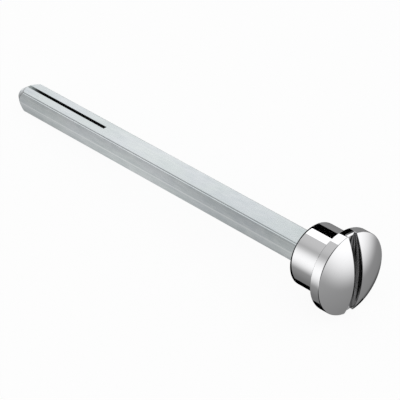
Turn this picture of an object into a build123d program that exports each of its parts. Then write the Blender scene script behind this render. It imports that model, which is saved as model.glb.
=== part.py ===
from build123d import *
import math
import os

# Door spindle with a coin-slot head, for a bathroom or privacy lock.
# A zinc-plated square bar is pressed into a turned, chrome-plated head.
# Millimetres. The bar runs along X with its sides level and upright, the head is at +X, and +Z is up.
# The origin is on the axis, in the plane of the flange's back face, which seats on the door plate.

# Square bar
bar_side = 6.0
bar_corner = 0.45  # rounding along the four long edges
bar_reach = 105.6  # from the collar's back face to the tip
bar_seat = 7.5  # length held inside the head
seat_fit = 0.02  # gap on each side of the bar in its socket

# Turned lead-in at the bar's tip
tip_flat = 3.8  # diameter of the flat left at the very end
tip_slope = 33.0  # degrees between the cone's side and the axis
tip_aside = 0.2  # the cone is ground this far off the bar's axis, towards -Y
tip_drop = 0.16  # and this far below it

# Saw cut that splits the bar's tip from its top side to its bottom side
kerf_width = 1.0
kerf_length = 32.0
kerf_offset = 0.15  # the cut lies this far off the bar's middle, towards +Y

# Head: a collar, a wider flange and a low dome, turned in one piece
collar_diameter = 16.0
collar_length = 9.0
flange_diameter = 21.0
flange_thick = 2.8
dome_rise = 2.6
edge_round = 0.25  # rounding of the flange's two outer edges
collar_round = 0.3  # rounding of the collar's back edge, which leads it into its hole

# Coin slot across the whole face of the head
slot_width = 2.7
slot_depth = 3.1  # from the dome's crown to the slot's flat floor
slot_turn = 6.0  # degrees round the axis from the bar's upright sides to the slot
slot_break = 0.1  # rounding where the slot's walls meet the dome and the rim
slot_lip = 0.6  # rounding at both ends of the slot's floor, where it runs out over the rim

# Places along the axis, worked out from the sizes above
collar_back = -collar_length
bar_end = collar_back + bar_seat
bar_tip = collar_back - bar_reach
crown = flange_thick + dome_rise
slot_floor = crown - slot_depth

# The dome is part of a sphere that passes through the rim and the crown
collar_radius = collar_diameter / 2
flange_radius = flange_diameter / 2
dome_radius = (flange_radius**2 + dome_rise**2) / (2 * dome_rise)
dome_centre = crown - dome_radius
dome_sweep = math.degrees(math.asin(flange_radius / dome_radius))

# The slot's floor reaches out to the rim, or to the dome where the slot is shallow
slot_reach = min(flange_radius, math.sqrt(dome_radius**2 - (slot_floor - dome_centre) ** 2))

# The lead-in cone is drawn out past the square's corners
cone_mouth = bar_side
cone_length = (cone_mouth - tip_flat / 2) / math.tan(math.radians(tip_slope))

# The cone's own axis, and the plane in which its outline is drawn
cone_plane = Plane(origin=(0, -tip_aside, -tip_drop), x_dir=(1, 0, 0), z_dir=(0, 0, 1))
cone_axis = Axis(cone_plane.origin, cone_plane.x_dir)

# The bar is a rounded square, cut to a cone at its tip and split by the saw
with BuildPart() as spindle_bar:
    with BuildSketch(Plane.YZ.offset(bar_tip)):
        RectangleRounded(bar_side, bar_side, bar_corner)
    extrude(amount=bar_end - bar_tip)
    with BuildSketch(cone_plane):
        with BuildLine():
            Polyline(
                (bar_tip, 0),
                (bar_tip, tip_flat / 2),
                (bar_tip + cone_length, cone_mouth),
                (bar_end, cone_mouth),
                (bar_end, 0),
                close=True,
            )
        make_face()
    revolve(axis=cone_axis, mode=Mode.INTERSECT)
    with BuildSketch(Plane.XY.offset(-bar_side / 2)):
        with Locations((bar_tip + kerf_length / 2, kerf_offset)):
            Rectangle(kerf_length, kerf_width)
    extrude(amount=bar_side, mode=Mode.SUBTRACT)

# The bed of the slot: its flat floor, turned with a rounded edge
with BuildPart() as slot_bed:
    with BuildSketch(Plane.XY):
        with Locations((slot_floor - slot_lip, 0)):
            Rectangle(slot_lip, slot_reach, align=(Align.MIN, Align.MIN))
        lip_corner = vertices().group_by(Axis.Y)[-1].sort_by(Axis.X)[-1]
        fillet(lip_corner, slot_lip)
    revolve(axis=Axis.X)
    with BuildSketch(Plane.YZ.offset(slot_floor - slot_lip)):
        Rectangle(slot_width, flange_diameter, rotation=-slot_turn)
    extrude(amount=slot_lip, mode=Mode.INTERSECT)

# The head is turned in one piece, slotted down to its bed and bored square from behind
with BuildPart() as spindle_head:
    with BuildSketch(Plane.XY):
        with BuildLine():
            dome = CenterArc((dome_centre, 0), dome_radius, 0, dome_sweep)
            Polyline(
                dome @ 1,
                (0, flange_radius),
                (0, collar_radius),
                (collar_back, collar_radius),
                (collar_back, 0),
                dome @ 0,
            )
        make_face()
        flange_corners = vertices().group_by(Axis.Y)[-1]
        fillet(flange_corners, edge_round)
        collar_corner = vertices().group_by(Axis.X)[0].sort_by(Axis.Y)[-1]
        fillet(collar_corner, collar_round)
    revolve(axis=Axis.X)
    with BuildSketch(Plane.YZ.offset(slot_floor - slot_lip)):
        Rectangle(slot_width, flange_diameter * 2, rotation=-slot_turn)
    extrude(amount=slot_depth * 2, mode=Mode.SUBTRACT)
    dome_edges = edges(Select.LAST).group_by(Axis.X)[-1]
    fillet(dome_edges, slot_break)
    add(slot_bed.part)
    with BuildSketch(Plane.YZ.offset(collar_back)):
        RectangleRounded(bar_side + 2 * seat_fit, bar_side + 2 * seat_fit, bar_corner + seat_fit)
    extrude(amount=bar_seat, mode=Mode.SUBTRACT)

spindle_bar.part.label = "spindle_bar"
spindle_head.part.label = "spindle_head"

os.makedirs("parts", exist_ok=True)
export_step(spindle_bar.part, "parts/spindle_bar.step")
export_step(spindle_head.part, "parts/spindle_head.step")
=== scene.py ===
import math

import bpy
import numpy as np
from mathutils import Matrix, Vector


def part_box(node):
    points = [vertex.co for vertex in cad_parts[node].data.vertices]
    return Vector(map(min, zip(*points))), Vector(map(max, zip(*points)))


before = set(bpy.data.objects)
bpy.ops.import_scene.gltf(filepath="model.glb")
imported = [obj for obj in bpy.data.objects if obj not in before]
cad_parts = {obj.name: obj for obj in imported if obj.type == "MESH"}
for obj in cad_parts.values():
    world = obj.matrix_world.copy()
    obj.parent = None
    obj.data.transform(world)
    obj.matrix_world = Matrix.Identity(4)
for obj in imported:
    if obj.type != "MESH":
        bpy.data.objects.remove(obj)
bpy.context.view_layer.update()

bl_info = {
    "name": "Door Spindle",
    "version": (1, 0, 0),
    "blender": (4, 5, 0),
    "location": "View3D > Sidebar > Spindle",
    "description": "Finishes a split square spindle with a coin-slot head and sets it in a soft studio",
    "category": "Add Mesh",
}

MM = 0.001
PICTURE_SIDE = 400  # pixels, of the square picture that the camera frames
SENSOR_WIDTH = 36  # mm
CLIP_START, CLIP_END = 0.01, 50  # metres

# The bar's textures: the size of one grain along X, Y and Z
FINE_LINES = (30 * MM, 0.25 * MM, 0.25 * MM)
BROAD_LINES = (160 * MM, 1.2 * MM, 1.2 * MM)
MOTTLE = (3 * MM, 1.1 * MM, 1.1 * MM)
SWELL = (26 * MM, 9 * MM, 9 * MM)
BLOOM = (13 * MM, 5 * MM, 5 * MM)
BLOOM_EDGES = (0.35, 0.65)  # noise levels between which the bluer patches come in
# Painted reflection: the bar's tone varies more strongly on its -Y side.
SIDE_BAND = 0.2 * MM  # how far inside the -Y side its stronger contrast begins

# The head's textures: milled lines along the slot's own axes, turned rings along the radius, and a haze
MILLING = (0.4 * MM, 0.4 * MM, 12 * MM)
RINGS = (0.25 * MM, 1, 1)
HAZE = (3 * MM, 3 * MM, 3 * MM)
MILLING_EDGES = (0.42, 0.58)  # noise levels between which a milled line comes in

# The painted dark reflections on the slot's walls, a band and a low line: their ends, as shares of the
# wall's height or in metres along it
SLOT_ENDS = (2 * MM, 5 * MM)
BAND_FOOT = (0.56, 0.66)
BAND_TOP = (0.8, 0.9)
SHADE_LINE_HEIGHT = 0.2
SHADE_LINE_EDGES = (0.14, 0.05)
DARK_END = (8.5 * MM, 6 * MM)

# Grid steps of the bent cards and of the tent
ARC_STEPS = 49
TENT_ROWS, TENT_COLUMNS = 33, 65
TENT_RISE = (-0.9, 0.3)  # heights, on a ball of radius 1, of the tent's low grey and its high grey

# The tent's lamps, each with its azimuth, elevation and radius in degrees, and its strength
LAMPS = (
    (36, 15, 60, 0.80),
    (175, 70, 50, 0.36),
    (-103, 10, 46, 0.88),
    (-138, 4, 57, 0.12),
)

# The tent's dark parts in the same way, where a strength of 1 is black
SHADES = (
    (-60, 35, 62, 1.0),
    (-60, 68, 40, 0.9),
    (-80, -52, 42, 1.0),
    (180, -5, 45, 0.9),
    (95, 35, 30, 0.9),
    (128, -45, 24, 0.85),
)

# Cards bent round the X axis: radius at both ends, turn in degrees from +Y towards +Z, reach along X
# and brightness. Lengths here and in the next two tables are in mm.
ARC_CARDS = {
    "black_card": ((25, 25), (37, 69), (-24, -7), 0.0),
    "white_card": ((25, 25), (69, 94.5), (-24, -7), 1.3),
    # A black ring just behind the collar that only reflections see, standing in for the shade behind the
    # collar.
    "collar_shadow_card": ((6.5, 9.4), (86, 245), (-9.6, -9.6), 0.0),
    # A black strip below the head that only reflections see, standing in for the floor's contact shadow
    # under the head.
    "contact_shadow_card": ((70, 70), (255.5, 307), (-75, -5), 0.0),
    "edge_card": ((70, 70), (236, 262), (-30, 40), 0.0),
    "top_panel": ((85, 85), (30, 66), (-220, -58), 1.02),
    "ridge_card": ((85, 85), (70, 125), (-220, -72), 0.46),
    "glint_card": ((85, 85), (142, 185), (-220, -72), 1.1),
    "far_panel": ((85, 85), (5, 30), (-220, -75), 1.0),
}

# Upright cards past the bar's tip, all at TIP_WALL along X: reach along Y and Z, brightness
TIP_WALL = -150
TIP_CARDS = {
    "tip_panel": ((-12, 45), (-19, 12), 1.0),
    "tip_shade": ((-12, 19), (-50, -19), 0.35),
    "near_mouth": ((-60, -12), (-60, -10), 1.1),
    "far_mouth": ((19, 60), (-60, -19), 1.1),
}

# The side panel: its reach along Y at three places along X, and the Y between which its light changes
PANEL_OUTLINE = {-200: (-22, 6), -30: (-22, 6), -11: (-9.8, 6)}
PANEL_FALL = (-10, -5.2)
PANEL_EDGE = (-3.6, -5.8)

# Places along the axis, read off the CAD nodes' boxes
BAR_LOW, BAR_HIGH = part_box("spindle_bar")
HEAD_LOW, HEAD_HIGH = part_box("spindle_head")
BAR_TIP = BAR_LOW.x
COLLAR_BACK = HEAD_LOW.x
FLANGE_RADIUS = HEAD_HIGH.y
BAR_HALF = BAR_HIGH.z
NEAR = 0.005 * MM  # what counts as lying in a face


class Wire:
    """One node output. Each sum or product of wires and numbers adds the Math node that works it out."""

    def __init__(self, sheet, socket):
        self.sheet = sheet
        self.socket = socket

    def maths(self, operation, *values):
        return self.sheet.maths(operation, *values)

    def __add__(self, other):
        return self.maths("ADD", self, other)

    def __radd__(self, other):
        return self.maths("ADD", other, self)

    def __sub__(self, other):
        return self.maths("SUBTRACT", self, other)

    def __rsub__(self, other):
        return self.maths("SUBTRACT", other, self)

    def __mul__(self, other):
        return self.maths("MULTIPLY", self, other)

    def __rmul__(self, other):
        return self.maths("MULTIPLY", other, self)

    def __truediv__(self, other):
        return self.maths("DIVIDE", self, other)

    def __lt__(self, other):
        return self.maths("LESS_THAN", self, other)

    def __gt__(self, other):
        return self.maths("GREATER_THAN", self, other)

    def __abs__(self):
        return self.maths("ABSOLUTE", self)


class Sheet:
    """The node tree of one material or world, cleared and then filled by node()."""

    def __init__(self, tree):
        tree.nodes.clear()
        self.tree = tree

    def node(self, kind, settings=None, sockets=None):
        """Adds a node, sets its settings, then its sockets, and gives its outputs as wires by name."""
        made = self.tree.nodes.new(kind)
        for name, value in (settings or {}).items():
            setattr(made, name, value)
        inputs = {socket.identifier: socket for socket in made.inputs}
        for name, value in (sockets or {}).items():
            if isinstance(value, Wire):
                self.tree.links.new(value.socket, inputs[name])
            else:
                inputs[name].default_value = value
        return {socket.identifier: Wire(self, socket) for socket in made.outputs}

    def maths(self, operation, *values):
        """One Math node."""
        sockets = dict(zip(("Value", "Value_001", "Value_002"), values))
        return self.node("ShaderNodeMath", {"operation": operation}, sockets)["Value"]

    def mix(self, factor, first, second, blend="MIX"):
        """A colour from first, at factor 0, to second, at factor 1; each a wire or a plain colour."""
        first, second = (c if isinstance(c, Wire) else (*c, 1) for c in (first, second))
        sockets = {"Factor_Float": factor, "A_Color": first, "B_Color": second}
        settings = {"data_type": "RGBA", "blend_type": blend}
        return self.node("ShaderNodeMix", settings, sockets)["Result_Color"]

    def along(self, vector, direction):
        """How far vector reaches along a fixed direction: their dot product."""
        sockets = {"Vector": vector, "Vector_001": direction}
        return self.node("ShaderNodeVectorMath", {"operation": "DOT_PRODUCT"}, sockets)["Value"]

    def ease(self, value, start, end, low=0.0, high=1.0):
        """Goes smoothly from low, where value is start, to high, where it is end."""
        sockets = {"Value": value, "From Min": start, "From Max": end, "To Min": low, "To Max": high}
        return self.node("ShaderNodeMapRange", {"interpolation_type": "SMOOTHSTEP"}, sockets)["Result"]

    def wave(self, value, middle, period):
        """A cosine of the value that peaks, at 1, where the value is middle."""
        return self.maths("COSINE", (value - middle) * (2 * math.pi / period))

    def turned(self, vector, angle):
        """The vector turned by an angle round +X."""
        settings = {"rotation_type": "X_AXIS"}
        return self.node("ShaderNodeVectorRotate", settings, {"Vector": vector, "Angle": angle})["Vector"]

    def parts(self, vector):
        """The X, Y and Z of a vector."""
        made = self.node("ShaderNodeSeparateXYZ", None, {"Vector": vector})
        return made["X"], made["Y"], made["Z"]

    def grain(self, vector, spacing, detail=2.0):
        """Noise from 0 to 1 whose grains measure spacing, in metres, along X, Y and Z."""
        scale = tuple(1 / step for step in spacing)
        mapped = self.node("ShaderNodeMapping", None, {"Vector": vector, "Scale": scale})
        sockets = {"Vector": mapped["Vector"], "Scale": 1.0, "Detail": detail}
        return self.node("ShaderNodeTexNoise", None, sockets)["Fac"]

    def bump(self, height, depth, strength=1.0):
        """The surface normal pushed about by a height from 0 to 1 that stands for depth, in metres."""
        sockets = {"Strength": strength, "Distance": depth, "Height": height}
        return self.node("ShaderNodeBump", None, sockets)["Normal"]

    def metal(self, colour, roughness, normal):
        """A bare metal surface, sent to the material's output."""
        sockets = {"Base Color": colour, "Metallic": 1.0, "Roughness": roughness, "Normal": normal}
        shader = self.node("ShaderNodeBsdfPrincipled", None, sockets)["BSDF"]
        self.node("ShaderNodeOutputMaterial", None, {"Surface": shader})


def new_material(name):
    """A material with an empty node tree, and the sheet to fill it."""
    material = bpy.data.materials.new(name)
    material.use_nodes = True
    return material, Sheet(material.node_tree)


def dress(node, material):
    """Gives every slot of a CAD node this material."""
    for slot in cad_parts[node].material_slots:
        slot.material = material


def heading(azimuth, elevation):
    """The unit vector at azimuth degrees round +Z from +X and elevation degrees above the level."""
    a = math.radians(azimuth)
    e = math.radians(elevation)
    return Vector((math.cos(a) * math.cos(e), math.sin(a) * math.cos(e), math.sin(e)))


def zinc_material(finish):
    """Bright zinc plating on drawn steel: lines along X, soft mottling, a painted dark line along the
    cone's edges, and saw-cut walls of bare steel painted near black as the shade deep in the cut.
    """
    material, sheet = new_material("bright_zinc")
    place = sheet.node("ShaderNodeTexCoord")["Object"]
    x, y, z = sheet.parts(place)
    fine = sheet.grain(place, FINE_LINES, 3.0)
    broad = sheet.grain(place, BROAD_LINES, 1.0)
    mottle = sheet.grain(place, MOTTLE, 4.0)
    swell = sheet.grain(place, SWELL, 1.0)
    # A brighter line painted into the plating's colour along the bar at this height.
    streak = sheet.ease(abs(z - finish.streak_height), finish.streak_width, finish.streak_width / 2)
    lines = (fine - 0.5) * finish.fine_contrast + (broad - 0.5) * finish.broad_contrast
    aside = y + finish.cone_shift[0]
    above = z + finish.cone_shift[1]
    radius = sheet.maths("SQRT", aside * aside + above * above)
    cone = finish.tip_radius + (x - BAR_TIP) * math.tan(finish.tip_slope)
    on_cone = abs(radius - cone) < finish.cone_fit
    out = sheet.maths("MAXIMUM", abs(y), abs(z))
    # Painted shade: a dark line along the edges where the cone meets the flat faces.
    rim = on_cone * sheet.ease(out, BAR_HALF - finish.rim_width, BAR_HALF - finish.rim_width / 3)
    # Painted reflection: the tone's variation is made stronger on the -Y side.
    contrast = sheet.ease(y, SIDE_BAND - BAR_HALF, -BAR_HALF, 1.0, finish.side_contrast)
    patches = (mottle - 0.5) * finish.mottle_contrast + (swell - 0.5) * finish.swell_contrast
    tone = (lines + patches) * contrast + 0.5
    plating = sheet.mix(tone, finish.shade_colour, finish.light_colour)
    plating = sheet.mix(streak * finish.streak_strength, plating, finish.streak_colour)
    bloom = sheet.ease(sheet.grain(place, BLOOM), *BLOOM_EDGES)
    bluer = sheet.mix(1.0, plating, finish.bloom_colour, "MULTIPLY")
    plating = sheet.mix(bloom, plating, bluer)
    # Painted shade along the cone's edges, in the saw cut's dark colour.
    plating = sheet.mix(rim * finish.rim_shade, plating, finish.cut_shade_colour)
    beside = abs(y - finish.cut_offset) < finish.cut_width / 2 + NEAR
    in_cut = beside * (x < BAR_TIP + finish.cut_length + NEAR)
    # Painted shade in the saw cut: its bare walls go near black deeper in, and keep the plating's colour
    # near the tip, where light reaches them.
    mouth = sheet.ease(x, BAR_TIP + finish.cut_mouth, BAR_TIP + finish.cut_mouth_full)
    walls = sheet.mix(mouth, finish.cut_shade_colour, finish.light_colour)
    colour = sheet.mix(in_cut, plating, walls)
    worn = (fine - 0.5) * finish.polish_spread + (mottle - 0.5) * finish.polish_spread
    sawn = in_cut * (finish.cut_roughness - mouth * finish.mouth_polish)
    roughness = finish.roughness + worn + sawn
    sheet.metal(colour, roughness, sheet.bump(fine + broad, finish.line_depth))
    return material


def chrome_material(finish):
    """Mirror chrome: even on the polished faces, milled lines in the slot with painted dark reflections
    on its walls, turned rings on the backs.
    """
    material, sheet = new_material("mirror_chrome")
    place = sheet.node("ShaderNodeTexCoord")["Object"]
    x, y, z = sheet.parts(place)
    slotted = sheet.turned(place, finish.slot_turn)
    height, across, along = sheet.parts(slotted)
    half_slot = finish.slot_width / 2
    on_wall = (abs(abs(across) - half_slot) < NEAR) * (x > finish.slot_floor + NEAR)
    on_floor = (abs(across) < half_slot - NEAR) * (abs(x - finish.slot_floor) < NEAR)
    radius = sheet.maths("SQRT", y * y + z * z)
    on_back = (x < COLLAR_BACK + NEAR) + (abs(x) < NEAR) * (radius > finish.collar_radius)
    milled = sheet.grain(slotted, MILLING, 1.0)
    outwards = sheet.node("ShaderNodeCombineXYZ", None, {"X": radius})["Vector"]
    rings = sheet.grain(outwards, RINGS)
    haze = sheet.grain(place, HAZE, 3.0)
    dome_drop = finish.dome_radius * finish.dome_radius - radius * radius
    dome_height = sheet.maths("SQRT", dome_drop) + finish.dome_centre
    rise = (height - finish.slot_floor) / (dome_height - finish.slot_floor)
    lines = sheet.ease(milled, *MILLING_EDGES)
    ends = sheet.ease(abs(along), *SLOT_ENDS)
    # Painted dark reflections on the slot's walls: a band from about two thirds of their height up, cut
    # short near the slot's ends, and a low line near the ends, both fading out towards one end. They lie
    # on the duller slot colour, and milled lines near the ends keep the chrome colour.
    band = sheet.ease(rise, *BAND_FOOT) * (1 - ends * sheet.ease(rise, *BAND_TOP))
    shade_line = sheet.ease(abs(rise - SHADE_LINE_HEIGHT), *SHADE_LINE_EDGES) * ends
    dark = sheet.maths("MAXIMUM", band, shade_line) * sheet.ease(-1 * along, *DARK_END)
    bare = sheet.mix(dark, finish.slot_colour, finish.band_colour)
    bare = sheet.mix(ends * lines * finish.wall_shine * (1 - dark), bare, finish.colour)
    colour = sheet.mix(on_wall, finish.colour, bare)
    # The slot's floor is greyed between the milled lines.
    colour = sheet.mix(on_floor * (1 - lines) * finish.floor_greying, colour, finish.slot_colour)
    duller = on_wall * finish.wall_dull + on_floor * finish.floor_dull + on_back * finish.back_dull
    roughness = finish.roughness + (haze - 0.5) * finish.haze_spread + duller
    relief = on_wall * milled + on_back * rings * finish.ring_relief
    sheet.metal(colour, roughness, sheet.bump(relief, finish.line_depth))
    return material


def grid_mesh(name, points):
    """A mesh over a grid of points, given as an array of rows x columns x 3, with one quad a cell."""
    rows, columns = points.shape[:2]
    first = (np.arange(rows - 1)[:, None] * columns + np.arange(columns - 1)).ravel()
    quads = np.stack([first, first + 1, first + columns + 1, first + columns], 1)
    mesh = bpy.data.meshes.new(name)
    mesh.from_pydata(points.reshape(-1, 3), [], quads)
    mesh.update()
    piece = bpy.data.objects.new(name, mesh)
    bpy.context.scene.collection.objects.link(piece)
    return piece


def floor_height(x):
    """The floor's height at x: a straight line under the flange's back edge and the bar's tail."""
    slope = (FLANGE_RADIUS - BAR_HALF) / -BAR_TIP
    return -FLANGE_RADIUS - slope * x


def make_floor(studio):
    """A wide flat sheet that meets the flange's rim and the bar's tail."""
    reach = np.linspace(-studio.floor_reach, studio.floor_reach, 2)
    x, y = np.meshgrid(reach, reach, indexing="ij")
    floor = grid_mesh("floor", np.stack([x, y, floor_height(x)], 2))
    material, sheet = new_material("pale_floor")
    paper = sheet.node("ShaderNodeBsdfDiffuse", None, {"Color": (*studio.floor_colour, 1)})["BSDF"]
    white = sheet.node("ShaderNodeEmission", None, {"Strength": studio.floor_glow})["Emission"]
    sockets = {
        "Fac": straight_sight(sheet) * studio.floor_white,
        "Shader": paper,
        "Shader_001": white,
    }
    mixed = sheet.node("ShaderNodeMixShader", None, sockets)
    sheet.node("ShaderNodeOutputMaterial", None, {"Surface": mixed["Shader"]})
    floor.data.materials.append(material)
    floor.visible_glossy = False


def reflected_only(board):
    """Leaves a board to reflections, as cards beside bright metal are kept out of a photograph."""
    board.visible_camera = False
    board.visible_diffuse = False
    board.visible_shadow = False
    board.visible_transmission = False
    board.visible_volume_scatter = False


def make_card(name, points, brightness):
    """An evenly lit board that only reflections see."""
    card = grid_mesh(name, points)
    material, sheet = new_material(name)
    light = sheet.node("ShaderNodeEmission", None, {"Strength": brightness})["Emission"]
    sheet.node("ShaderNodeOutputMaterial", None, {"Surface": light})
    card.data.materials.append(material)
    reflected_only(card)


def make_side_panel(studio):
    """A board beside and under the bar, narrow by the collar, with a slow swell of light along it."""
    x = np.array(list(PANEL_OUTLINE))[:, None] * MM + np.zeros(2)
    y = np.array(list(PANEL_OUTLINE.values())) * MM
    z = np.full_like(x, -BAR_HALF - studio.panel_gap)
    panel = grid_mesh("side_panel", np.stack([x, y, z], 2))
    material, sheet = new_material("side_panel")
    x, y, z = sheet.parts(sheet.node("ShaderNodeTexCoord")["Object"])
    swell = sheet.wave(x, studio.swell_middle, studio.swell_length) * studio.swell_height + 1
    edge = sheet.wave(x, studio.edge_middle, studio.edge_length) * studio.edge_height + studio.edge_level
    far, near = (step * MM for step in PANEL_FALL)
    light = sheet.ease(y, far, near, studio.panel_far, studio.panel_near) * swell
    dull, full = (step * MM for step in PANEL_EDGE)
    light = light * sheet.ease(y, dull, full, edge, 1.0)
    lit = sheet.node("ShaderNodeEmission", None, {"Strength": light})["Emission"]
    sheet.node("ShaderNodeOutputMaterial", None, {"Surface": lit})
    panel.data.materials.append(material)
    reflected_only(panel)


def arc_points(radii, turn, reach):
    """A strip round the X axis: (x, r cos t, r sin t), t over turn, x and r between their ends in mm."""
    t = np.radians(np.linspace(*turn, ARC_STEPS))[:, None]
    x = np.array(reach)[None, :] * MM + 0 * t
    r = np.array(radii)[None, :] * MM
    return np.stack([x, r * np.cos(t), r * np.sin(t)], 2)


def wall_points(x, y_range, z_range):
    """An upright wall across the axis at x, between two Y and two Z, in mm."""
    y, z = np.meshgrid(y_range, z_range, indexing="ij")
    return np.stack([np.full_like(y, x), y, z], 2) * MM


def ball_points(radius, rows, columns):
    """A ball: radius times (cos u cos v, sin u cos v, sin v), u round it and v from pole to pole."""
    u = np.linspace(0, 2 * np.pi, columns)
    v = np.linspace(-np.pi / 2, np.pi / 2, rows)
    v, u = np.meshgrid(v, u, indexing="ij")
    return radius * np.stack([np.cos(u) * np.cos(v), np.sin(u) * np.cos(v), np.sin(v)], 2)


def glow(sheet, way, azimuth, elevation, radius, strength):
    """A round soft lamp: strength where way points at its middle, fading to nothing at radius degrees."""
    nearness = sheet.along(way, heading(azimuth, elevation))
    return sheet.ease(nearness, math.cos(math.radians(radius)), 1.0, 0.0, strength)


def make_tent(studio):
    """A light tent round the object: grey, with soft lamps glowing through it and dark parts between."""
    tent = grid_mesh("tent", ball_points(studio.tent_radius, TENT_ROWS, TENT_COLUMNS))
    material, sheet = new_material("tent")
    place = sheet.node("ShaderNodeTexCoord")["Object"]
    way = sheet.node("ShaderNodeVectorMath", {"operation": "NORMALIZE"}, {"Vector": place})["Vector"]
    x, y, z = sheet.parts(way)
    light = sheet.ease(z, *TENT_RISE, studio.low_grey, studio.high_grey) + x * studio.front_lift
    for lamp in LAMPS:
        light = light + glow(sheet, way, *lamp)
    for shade in SHADES:
        light = light * (1 - glow(sheet, way, *shade))
    lit = sheet.node("ShaderNodeEmission", None, {"Strength": light})["Emission"]
    sheet.node("ShaderNodeOutputMaterial", None, {"Surface": lit})
    tent.data.materials.append(material)
    reflected_only(tent)


def straight_sight(sheet):
    """1 for what the camera sees, directly, reflected or through glass, and 0 for light on a surface."""
    rays = sheet.node("ShaderNodeLightPath")
    seen = rays["Is Camera Ray"] + rays["Is Glossy Ray"] + rays["Is Transmission Ray"]
    return sheet.maths("MINIMUM", seen, 1.0)


def make_world(studio):
    """White wherever it is seen, and the plain level of the studio where it lights a surface."""
    world = bpy.data.worlds.new("soft_studio")
    world.use_nodes = True
    bpy.context.scene.world = world
    sheet = Sheet(world.node_tree)
    seen = straight_sight(sheet)
    strength = seen + (1 - seen) * studio.level
    background = sheet.node("ShaderNodeBackground", None, {"Strength": strength})["Background"]
    sheet.node("ShaderNodeOutputWorld", None, {"Surface": background})


def make_camera(studio):
    """A long lens at the photograph's angle, with the collar's back face at its pixel of the picture."""
    lens = bpy.data.cameras.new("camera")
    lens.lens = studio.lens
    lens.sensor_width = SENSOR_WIDTH
    lens.clip_start = CLIP_START
    lens.clip_end = CLIP_END
    camera = bpy.data.objects.new("camera", lens)
    bpy.context.scene.collection.objects.link(camera)
    bpy.context.scene.camera = camera
    a = studio.azimuth
    e = studio.elevation
    back = Vector((math.sin(a) * math.cos(e), -math.cos(a) * math.cos(e), math.sin(e)))
    level = Vector((math.cos(a), math.sin(a), 0))
    rise = back.cross(level)
    right = level * math.cos(studio.roll) + rise * math.sin(studio.roll)
    up = rise * math.cos(studio.roll) - level * math.sin(studio.roll)
    pixel = studio.distance * SENSOR_WIDTH / studio.lens / PICTURE_SIDE
    side = (studio.collar_pixel[0] - PICTURE_SIDE / 2) * pixel
    height = (PICTURE_SIDE / 2 - studio.collar_pixel[1]) * pixel
    seat = Vector((COLLAR_BACK, 0, 0)) + back * studio.distance - right * side - up * height
    camera.matrix_world = Matrix.Translation(seat) @ Matrix((right, up, back)).transposed().to_4x4()


def number(name, description, default, **more):
    """A plain number among the settings."""
    return bpy.props.FloatProperty(name=name, description=description, default=default, **more)


def share(name, description, default):
    """A number from 0 to 1."""
    return number(name, description, default, min=0, max=1)


def length(name, description, millimetres):
    """A length, with its default given in millimetres."""
    return number(name, description, millimetres * MM, unit="LENGTH")


def angle(name, description, degrees):
    """An angle, with its default given in degrees."""
    return number(name, description, math.radians(degrees), unit="ROTATION")


def pair(name, description, default):
    """Two numbers that belong together."""
    return bpy.props.FloatVectorProperty(name=name, description=description, size=2, default=default)


def tint(name, description, default):
    """A colour."""
    return bpy.props.FloatVectorProperty(
        name=name, description=description, subtype="COLOR", default=default
    )


class SpindleZinc(bpy.types.PropertyGroup):
    """Sizes and colours of the bar's plating."""

    light_colour: tint("Light Zinc", "Colour of the brighter lines", (0.735, 0.775, 0.775))
    shade_colour: tint("Dull Zinc", "Colour of the duller lines", (0.592, 0.642, 0.652))
    # Painted shade: the near-black colour of the saw cut's bare walls deep in the cut, also used for the
    # dark line along the cone's edges.
    cut_shade_colour: tint("Saw Cut", "Colour of the saw cut's walls", (0.05, 0.05, 0.05))
    bloom_colour: tint("Bloom", "Tint of the plating's bluer patches", (0.985, 0.975, 1.0))
    roughness: share("Roughness", "Middle roughness of the plating", 0.25)
    line_depth: length("Line Depth", "Depth of the draw lines", 0.01)
    fine_contrast: number("Fine Contrast", "How much the fine lines change the tone", 0.9)
    broad_contrast: number("Broad Contrast", "How much the broad lines change the tone", 0.6)
    mottle_contrast: number("Mottle Contrast", "How much the mottling changes the tone", 1.3)
    swell_contrast: number("Swell Contrast", "How much the broad patches change the tone", 1.4)
    # Painted reflection: stronger tone variation on the -Y side.
    side_contrast: number("Side Contrast", "How many times stronger all this is on the -Y side", 1.5)
    polish_spread: number("Polish Spread", "How far the roughness varies over the plating", 0.14)
    # A brighter line painted into the plating's colour along the bar: its height, width, colour and
    # strength.
    streak_height: length("Streak Height", "Height of the brighter draw line", -0.52)
    streak_width: length("Streak Width", "Half width of the brighter draw line", 0.26)
    streak_colour: tint("Streak", "Colour of the brighter draw line", (0.85, 0.88, 0.88))
    streak_strength: share("Streak Strength", "How far the brighter line covers the plating", 0.7)
    cut_width: length("Cut Width", "Width of the saw cut", 1.0)
    cut_length: length("Cut Length", "Length of the saw cut from the tip", 32)
    cut_offset: length("Cut Offset", "Distance of the cut from the bar's middle", 0.15)
    # The cut's painted shade is whole farther than Cut Mouth from the tip and gone nearer than Full
    # Mouth, where the walls keep the plating's colour.
    cut_mouth: length("Cut Mouth", "How far the plating reaches into the cut", 6)
    cut_mouth_full: length("Full Mouth", "How far into the cut the plating is whole", 2.4)
    cut_roughness: number("Cut Roughness", "How much rougher the cut's walls are", 0.35)
    mouth_polish: number("Mouth Polish", "How much smoother they are at the mouth", 0.4)
    tip_radius: length("Tip Radius", "Radius of the flat at the bar's tip", 1.9)
    tip_slope: angle("Tip Slope", "Slope of the lead-in cone", 33)
    cone_fit: length("Cone Fit", "How near to the cone a point is part of it", 0.04)
    cone_shift: pair("Cone Shift", "From the cone's axis to the bar's", (0.2 * MM, 0.16 * MM))
    # Painted shade: how dark and how wide the dark line along the cone's edges is.
    rim_shade: share("Rim Shade", "How dark the cone's edges are", 0.55)
    rim_width: length("Rim Width", "Width of the dull line at the cone's edges", 0.75)


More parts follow.
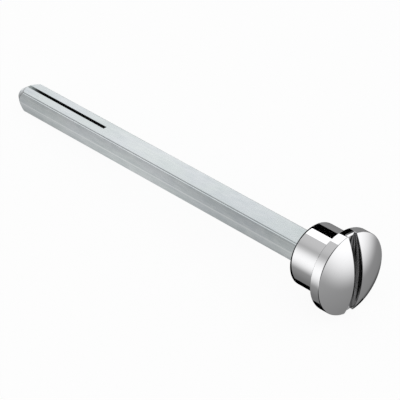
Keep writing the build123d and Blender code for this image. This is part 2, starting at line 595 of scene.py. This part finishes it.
class SpindleChrome(bpy.types.PropertyGroup):
    """Sizes and colours of the head's plating."""

    colour: tint("Chrome", "Colour of the polished faces", (0.86, 0.86, 0.87))
    # Duller plating of the slot, darkened further as painted shade.
    slot_colour: tint("Slot Walls", "Colour of the milled walls", (0.5, 0.5, 0.5))
    roughness: share("Roughness", "Roughness of the polish", 0.04)
    haze_spread: number("Haze Spread", "How far the roughness varies over the polish", 0.02)
    wall_dull: number("Wall Dullness", "How much rougher the slot's walls are", 0.1)
    floor_dull: number("Floor Dullness", "How much rougher the slot's floor is", 0.04)
    back_dull: number("Back Dullness", "How much rougher the turned backs are", 0.12)
    line_depth: length("Line Depth", "Depth of the milled lines", 0.03)
    ring_relief: share("Ring Relief", "Depth of the turned rings, as a share of the milled lines", 0.4)
    wall_shine: share("Wall Shine", "How far bright lines cover the slot's walls at its ends", 0.5)
    # How far the slot's floor is greyed between the milled lines.
    floor_greying: share("Floor Greying", "How far dull lines cover the slot's floor", 0.7)
    slot_width: length("Slot Width", "Width of the coin slot", 2.7)
    slot_floor: length("Slot Floor", "Place of the slot's floor along X", 2.3)
    dome_radius: length("Dome Radius", "Radius of the domed face", 22.502)
    dome_centre: length("Dome Centre", "Place of the dome's centre along X", -17.102)
    # Painted dark reflection: colour of the band and the low line on the slot's walls.
    band_colour: tint("Dark Band", "Colour of the walls' dark band", (0.04, 0.04, 0.04))
    collar_radius: length("Collar Radius", "Radius of the collar", 8)
    slot_turn: angle("Slot Turn", "Turn of the slot round the axis", 6)


class SpindleStudio(bpy.types.PropertyGroup):
    """Camera, floor and light."""

    azimuth: angle("Azimuth", "Camera's turn round the object", 49.334)
    elevation: angle("Elevation", "Camera's height angle", 34.456)
    roll: angle("Roll", "Camera's roll", -4.235)
    distance: length("Distance", "From the collar's back face to the camera", 562.3)
    lens: number("Lens", "Focal length on a 36 mm sensor", 217.86)
    collar_pixel: pair("Collar Pixel", "Where the collar's back face shows", (313.9, 253.42))
    floor_reach: length("Floor Reach", "Half the floor's side", 3000)
    floor_colour: tint("Floor", "Colour of the floor", (0.9, 0.9, 0.9))
    floor_white: number("Floor White", "Share of plain white in the floor as the camera sees it", 0.85)
    floor_glow: number("Floor Glow", "Strength of that plain white", 1.08)
    level: number("Level", "Brightness of the studio round the object", 0.6)
    tent_radius: length("Tent Radius", "Radius of the light tent", 1000)
    panel_gap: length("Panel Gap", "Drop from the bar's underside to the side panel", 0.6)
    panel_near: number("Panel Near", "Side panel's brightness next to the bar", 0.67)
    panel_far: number("Panel Far", "Side panel's brightness away from the bar", 0.50)
    swell_middle: length("Swell Middle", "Where along X the side panel is brightest", -76)
    swell_length: length("Swell Length", "Length of the side panel's swell", 90)
    swell_height: number("Swell Height", "Share that the swell adds or takes away", 0.09)
    edge_level: number("Edge Level", "Share of its light that the panel keeps at its inner edge", 0.85)
    edge_middle: length("Edge Middle", "Where along X that edge is brightest", -62)
    edge_length: length("Edge Length", "Length of the edge's own swell", 110)
    edge_height: number("Edge Height", "Share that the edge's swell adds or takes away", 0.11)
    low_grey: number("Low Grey", "Studio's brightness straight down", 0.235)
    high_grey: number("High Grey", "Studio's brightness above the level", 0.32)
    front_lift: number("Front Lift", "How much brighter the studio is in front of the head", 0.09)


class SPINDLE_OT_finish_bar(bpy.types.Operator):
    """Plate the square bar with bright zinc"""

    bl_idname = "spindle.finish_bar"
    bl_label = "Finish Bar"

    def execute(self, context):
        dress("spindle_bar", zinc_material(context.scene.spindle_zinc))
        return {"FINISHED"}


class SPINDLE_OT_finish_head(bpy.types.Operator):
    """Plate the slotted head with mirror chrome"""

    bl_idname = "spindle.finish_head"
    bl_label = "Finish Head"

    def execute(self, context):
        dress("spindle_head", chrome_material(context.scene.spindle_chrome))
        return {"FINISHED"}


class SPINDLE_OT_set_stage(bpy.types.Operator):
    """Set the floor, the cards, the soft light and the camera"""

    bl_idname = "spindle.set_stage"
    bl_label = "Set Stage"

    def execute(self, context):
        studio = context.scene.spindle_studio
        context.scene.view_settings.view_transform = "Standard"
        make_floor(studio)
        for name, (radii, turn, reach, brightness) in ARC_CARDS.items():
            make_card(name, arc_points(radii, turn, reach), brightness)
        for name, (y_range, z_range, brightness) in TIP_CARDS.items():
            make_card(name, wall_points(TIP_WALL, y_range, z_range), brightness)
        make_side_panel(studio)
        make_tent(studio)
        make_world(studio)
        make_camera(studio)
        return {"FINISHED"}


class SPINDLE_PT_sidebar(bpy.types.Panel):
    """Lists the steps in order"""

    bl_label = "Door Spindle"
    bl_space_type = "VIEW_3D"
    bl_region_type = "UI"
    bl_category = "Spindle"

    def draw(self, context):
        for group, step in (
            (context.scene.spindle_zinc, SPINDLE_OT_finish_bar),
            (context.scene.spindle_chrome, SPINDLE_OT_finish_head),
            (context.scene.spindle_studio, SPINDLE_OT_set_stage),
        ):
            box = self.layout.box()
            for name in group.__annotations__:
                box.prop(group, name)
            box.operator(step.bl_idname)


CLASSES = (
    SpindleZinc,
    SpindleChrome,
    SpindleStudio,
    SPINDLE_OT_finish_bar,
    SPINDLE_OT_finish_head,
    SPINDLE_OT_set_stage,
    SPINDLE_PT_sidebar,
)


def register():
    for cls in CLASSES:
        bpy.utils.register_class(cls)
    bpy.types.Scene.spindle_zinc = bpy.props.PointerProperty(type=SpindleZinc)
    bpy.types.Scene.spindle_chrome = bpy.props.PointerProperty(type=SpindleChrome)
    bpy.types.Scene.spindle_studio = bpy.props.PointerProperty(type=SpindleStudio)


def unregister():
    del bpy.types.Scene.spindle_studio
    del bpy.types.Scene.spindle_chrome
    del bpy.types.Scene.spindle_zinc
    for cls in reversed(CLASSES):
        bpy.utils.unregister_class(cls)


def main():
    register()
    bpy.ops.spindle.finish_bar()
    bpy.ops.spindle.finish_head()
    bpy.ops.spindle.set_stage()


if __name__ == "__main__":
    main()
